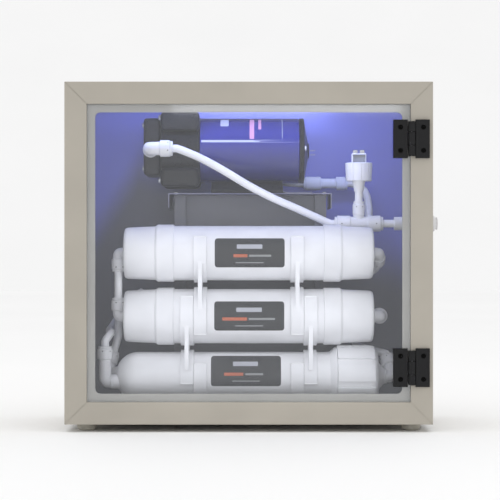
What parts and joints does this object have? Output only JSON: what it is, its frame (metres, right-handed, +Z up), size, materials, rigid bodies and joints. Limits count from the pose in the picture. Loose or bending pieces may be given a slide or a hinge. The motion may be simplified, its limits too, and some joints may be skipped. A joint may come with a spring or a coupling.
{
  "type": "reverse osmosis unit",
  "caption": "Sheet-metal cabinet with a hinged clear door, holding a booster pump, inline filters, a membrane housing and push-fit tubing for purifying water.",
  "frame": {"origin": "under the centre of the whole unit's box, on the surface that its feet stand on", "axes": "+X to the right along the filters, -Y out of the clear door, +Z up"},
  "size_m": [0.4434, 0.222, 0.409],
  "materials": {
    "powder_coat": "fine-textured powder coat",
    "inner_sheet": "satin blue-grey coat",
    "acrylic": "clear polished acrylic",
    "black_plastic": "satin moulded",
    "foot_rubber": "matte",
    "steel": "bright",
    "navy_paint": "gloss",
    "white_plastic": "smooth moulded",
    "fitting_plastic": "acetal, slightly translucent",
    "tube_white": "polyethylene tube",
    "filter_media": "carbon and film media"
  },
  "bodies": {
    "root": {"back_panel": "inner_sheet", "base_clip_left": "white_plastic", "base_clip_right": "white_plastic", "cabinet_shell": "powder_coat", "check_valve": "fitting_plastic", "door_stop_frame": "powder_coat", "drain_elbow": "fitting_plastic", "drain_port_body": "fitting_plastic", "drain_tube": "tube_white", "feed_port_body": "fitting_plastic", "feed_tee": "fitting_plastic", "feed_tube": "tube_white", "filter_link_tube": "tube_white", "foot_front_left": "foot_rubber", "foot_front_right": "foot_rubber", "foot_rear_left": "foot_rubber", "foot_rear_right": "foot_rubber", "hinge_lower_frame_leaf": "black_plastic", "hinge_lower_pin": "steel", "hinge_upper_frame_leaf": "black_plastic", "hinge_upper_pin": "steel", "lower_clip_left": "white_plastic", "lower_clip_right": "white_plastic", "lower_filter_left_elbow": "fitting_plastic", "lower_filter_media": "filter_media", "lower_filter_right_elbow": "fitting_plastic", "lower_filter_shell": "white_plastic", "membrane_cap": "white_plastic", "membrane_element": "filter_media", "membrane_feed_tube": "tube_white", "membrane_housing": "white_plastic", "membrane_inlet_elbow": "fitting_plastic", "permeate_elbow": "fitting_plastic", "permeate_port_body": "fitting_plastic", "permeate_tube": "tube_white", "pressure_switch": "white_plastic", "pump_base": "black_plastic", "pump_end_cap": "black_plastic", "pump_head": "black_plastic", "pump_head_cover": "black_plastic", "pump_inlet_elbow": "fitting_plastic", "pump_inlet_tube": "tube_white", "pump_motor_can": "navy_paint", "pump_outlet_elbow": "fitting_plastic", "pump_outlet_tube": "tube_white", "pump_stand": "inner_sheet", "pump_tray": "inner_sheet", "upper_clip_left": "white_plastic", "upper_clip_right": "white_plastic", "upper_filter_left_elbow": "fitting_plastic", "upper_filter_media": "filter_media", "upper_filter_right_elbow": "fitting_plastic", "upper_filter_shell": "white_plastic"},
    "door": {"door_panel": "acrylic", "hinge_upper_door_leaf": "black_plastic", "hinge_lower_door_leaf": "black_plastic"},
    "rotor": {"pump_rotor": "steel"},
    "feed_collet": {"feed_port_collet": "fitting_plastic"},
    "permeate_collet": {"permeate_port_collet": "fitting_plastic"},
    "drain_collet": {"drain_port_collet": "fitting_plastic"}
  },
  "joints": [
    {"name": "door_hinge", "type": "hinge", "parent": "root", "child": "door", "pos_m": [0.1831, -0.10675, 0.209], "axis": [0, 0, 1], "range_deg": [0, 170]},
    {"name": "rotor_spin", "type": "hinge", "parent": "root", "child": "rotor", "pos_m": [-0.0067, 0.01225, 0.3346], "axis": [1, 0, 0], "continuous": true},
    {"name": "feed_collet_press", "type": "slide", "parent": "root", "child": "feed_collet", "axis": [-1, 0, 0], "range_m": [0, 0.0015], "stiffness_N_per_m": 400},
    {"name": "permeate_collet_press", "type": "slide", "parent": "root", "child": "permeate_collet", "axis": [0, -1, 0], "range_m": [0, 0.0015], "stiffness_N_per_m": 400},
    {"name": "drain_collet_press", "type": "slide", "parent": "root", "child": "drain_collet", "axis": [0, -1, 0], "range_m": [0, 0.0015], "stiffness_N_per_m": 400}
  ]
}
